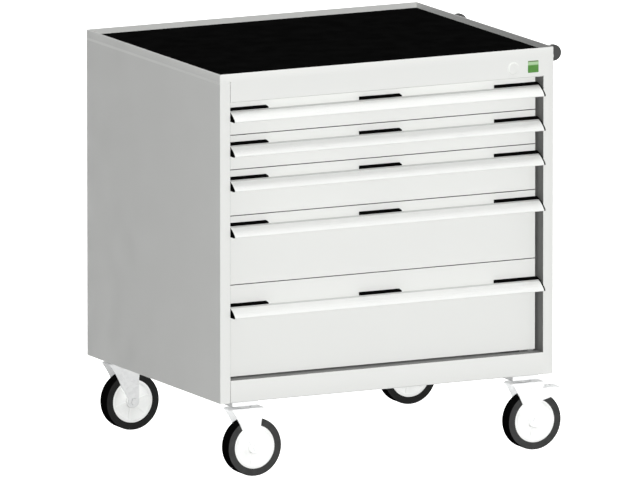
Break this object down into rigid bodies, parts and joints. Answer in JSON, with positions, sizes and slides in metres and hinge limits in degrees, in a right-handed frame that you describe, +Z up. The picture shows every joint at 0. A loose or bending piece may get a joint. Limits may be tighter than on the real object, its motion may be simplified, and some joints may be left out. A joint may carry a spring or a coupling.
{
  "type": "mobile drawer cabinet",
  "caption": "Mobile sheet-steel drawer cabinet with a mat-lined tray top, recessed full-width drawers, a side push bar and swivel castors.",
  "frame": {"origin": "on the floor, under the middle of the whole object's box", "axes": "+Z up from the floor, -Y out of the drawer fronts, +X towards the push bar"},
  "size_m": [0.868, 0.6645, 0.8806],
  "materials": {
    "painted_steel": "light grey powder coat, fine even texture, satin",
    "rubber_mat": "black ribbed rubber mat, matt",
    "grip_strip": "pale satin extrusion",
    "black_plastic": "black moulded plastic, fine grain",
    "bar_tube": "light grey powder coat, satin",
    "zinc_steel": "bright zinc plate",
    "castor_steel": "bright zinc plate, pressed sheet",
    "lock_metal": "satin plated lock",
    "wheel_plastic": "pale moulded wheel centre",
    "tyre": "dark grey solid rubber tyre"
  },
  "bodies": {
    "cabinet": {"side_panel_left": "painted_steel", "side_panel_right": "painted_steel", "back_panel": "painted_steel", "base_pan": "painted_steel", "top_rail": "painted_steel", "top_tray": "painted_steel", "rubber_mat": "rubber_mat", "runner_rack_left": "zinc_steel", "runner_rack_right": "zinc_steel", "push_bracket_front": "black_plastic", "push_bracket_rear": "black_plastic", "push_tube": "bar_tube", "castor_plate_front_left": "castor_steel", "castor_plate_rear_left": "castor_steel", "castor_plate_front_right": "castor_steel", "castor_plate_rear_right": "castor_steel"},
    "lock": {"lock_cylinder": "lock_metal"},
    "drawer_1": {"drawer_1": "painted_steel", "handle_1": "grip_strip", "handle_clips_1": "black_plastic"},
    "mid_runners_1": {"runner_left_1": "zinc_steel", "runner_right_1": "zinc_steel"},
    "drawer_2": {"drawer_2": "painted_steel", "handle_2": "grip_strip", "handle_clips_2": "black_plastic"},
    "mid_runners_2": {"runner_left_2": "zinc_steel", "runner_right_2": "zinc_steel"},
    "drawer_3": {"drawer_3": "painted_steel", "handle_3": "grip_strip", "handle_clips_3": "black_plastic"},
    "mid_runners_3": {"runner_left_3": "zinc_steel", "runner_right_3": "zinc_steel"},
    "drawer_4": {"drawer_4": "painted_steel", "handle_4": "grip_strip", "handle_clips_4": "black_plastic"},
    "mid_runners_4": {"runner_left_4": "zinc_steel", "runner_right_4": "zinc_steel"},
    "drawer_5": {"drawer_5": "painted_steel", "handle_5": "grip_strip", "handle_clips_5": "black_plastic"},
    "mid_runners_5": {"runner_left_5": "zinc_steel", "runner_right_5": "zinc_steel"},
    "swivel_front_left": {"fork_front_left": "castor_steel", "axle_front_left": "castor_steel"},
    "wheel_front_left": {"rim_front_left": "wheel_plastic", "tyre_front_left": "tyre"},
    "swivel_rear_left": {"fork_rear_left": "castor_steel", "axle_rear_left": "castor_steel"},
    "wheel_rear_left": {"rim_rear_left": "wheel_plastic", "tyre_rear_left": "tyre"},
    "swivel_front_right": {"fork_front_right": "castor_steel", "axle_front_right": "castor_steel"},
    "wheel_front_right": {"rim_front_right": "wheel_plastic", "tyre_front_right": "tyre"},
    "brake_front_right": {"brake_pedal_front_right": "castor_steel"},
    "swivel_rear_right": {"fork_rear_right": "castor_steel", "axle_rear_right": "castor_steel"},
    "wheel_rear_right": {"rim_rear_right": "wheel_plastic", "tyre_rear_right": "tyre"},
    "brake_rear_right": {"brake_pedal_rear_right": "castor_steel"}
  },
  "joints": [
    {"name": "lock_turn", "type": "hinge", "parent": "cabinet", "child": "lock", "pos_m": [0.26885, -0.318, 0.8405], "axis": [0, 1, 0], "range_deg": [0, 90]},
    {"name": "drawer_1_slide", "type": "slide", "parent": "cabinet", "child": "drawer_1", "axis": [0, -1, 0], "range_m": [0, 0.56]},
    {"name": "mid_runners_1_slide", "type": "slide", "parent": "cabinet", "child": "mid_runners_1", "axis": [0, -1, 0], "range_m": [0, 0.28]},
    {"name": "drawer_2_slide", "type": "slide", "parent": "cabinet", "child": "drawer_2", "axis": [0, -1, 0], "range_m": [0, 0.56]},
    {"name": "mid_runners_2_slide", "type": "slide", "parent": "cabinet", "child": "mid_runners_2", "axis": [0, -1, 0], "range_m": [0, 0.28]},
    {"name": "drawer_3_slide", "type": "slide", "parent": "cabinet", "child": "drawer_3", "axis": [0, -1, 0], "range_m": [0, 0.56]},
    {"name": "mid_runners_3_slide", "type": "slide", "parent": "cabinet", "child": "mid_runners_3", "axis": [0, -1, 0], "range_m": [0, 0.28]},
    {"name": "drawer_4_slide", "type": "slide", "parent": "cabinet", "child": "drawer_4", "axis": [0, -1, 0], "range_m": [0, 0.56]},
    {"name": "mid_runners_4_slide", "type": "slide", "parent": "cabinet", "child": "mid_runners_4", "axis": [0, -1, 0], "range_m": [0, 0.28]},
    {"name": "drawer_5_slide", "type": "slide", "parent": "cabinet", "child": "drawer_5", "axis": [0, -1, 0], "range_m": [0, 0.56]},
    {"name": "mid_runners_5_slide", "type": "slide", "parent": "cabinet", "child": "mid_runners_5", "axis": [0, -1, 0], "range_m": [0, 0.28]},
    {"name": "swivel_front_left_turn", "type": "hinge", "parent": "cabinet", "child": "swivel_front_left", "pos_m": [-0.37105, -0.287, 0.149], "axis": [0, 0, 1], "continuous": true},
    {"name": "wheel_front_left_spin", "type": "hinge", "parent": "swivel_front_left", "child": "wheel_front_left", "pos_m": [-0.34445, -0.287, 0.0632], "axis": [0, 1, 0], "continuous": true},
    {"name": "swivel_rear_left_turn", "type": "hinge", "parent": "cabinet", "child": "swivel_rear_left", "pos_m": [-0.37105, 0.306, 0.149], "axis": [0, 0, 1], "continuous": true},
    {"name": "wheel_rear_left_spin", "type": "hinge", "parent": "swivel_rear_left", "child": "wheel_rear_left", "pos_m": [-0.34445, 0.306, 0.0632], "axis": [0, 1, 0], "continuous": true},
    {"name": "swivel_front_right_turn", "type": "hinge", "parent": "cabinet", "child": "swivel_front_right", "pos_m": [0.30295, -0.287, 0.149], "axis": [0, 0, 1], "continuous": true},
    {"name": "wheel_front_right_spin", "type": "hinge", "parent": "swivel_front_right", "child": "wheel_front_right", "pos_m": [0.32955, -0.287, 0.0632], "axis": [0, 1, 0], "continuous": true},
    {"name": "brake_front_right_lift", "type": "hinge", "parent": "swivel_front_right", "child": "brake_front_right", "pos_m": [0.32355, -0.287, 0.1372], "axis": [0, -1, 0], "range_deg": [0, 18]},
    {"name": "swivel_rear_right_turn", "type": "hinge", "parent": "cabinet", "child": "swivel_rear_right", "pos_m": [0.30295, 0.306, 0.149], "axis": [0, 0, 1], "continuous": true},
    {"name": "wheel_rear_right_spin", "type": "hinge", "parent": "swivel_rear_right", "child": "wheel_rear_right", "pos_m": [0.32955, 0.306, 0.0632], "axis": [0, 1, 0], "continuous": true},
    {"name": "brake_rear_right_lift", "type": "hinge", "parent": "swivel_rear_right", "child": "brake_rear_right", "pos_m": [0.32355, 0.306, 0.1372], "axis": [0, -1, 0], "range_deg": [0, 18]}
  ],
  "couplings": [
    {"joint": "mid_runners_1_slide", "follows": "drawer_1_slide", "ratio": 0.5},
    {"joint": "mid_runners_2_slide", "follows": "drawer_2_slide", "ratio": 0.5},
    {"joint": "mid_runners_3_slide", "follows": "drawer_3_slide", "ratio": 0.5},
    {"joint": "mid_runners_4_slide", "follows": "drawer_4_slide", "ratio": 0.5},
    {"joint": "mid_runners_5_slide", "follows": "drawer_5_slide", "ratio": 0.5}
  ]
}
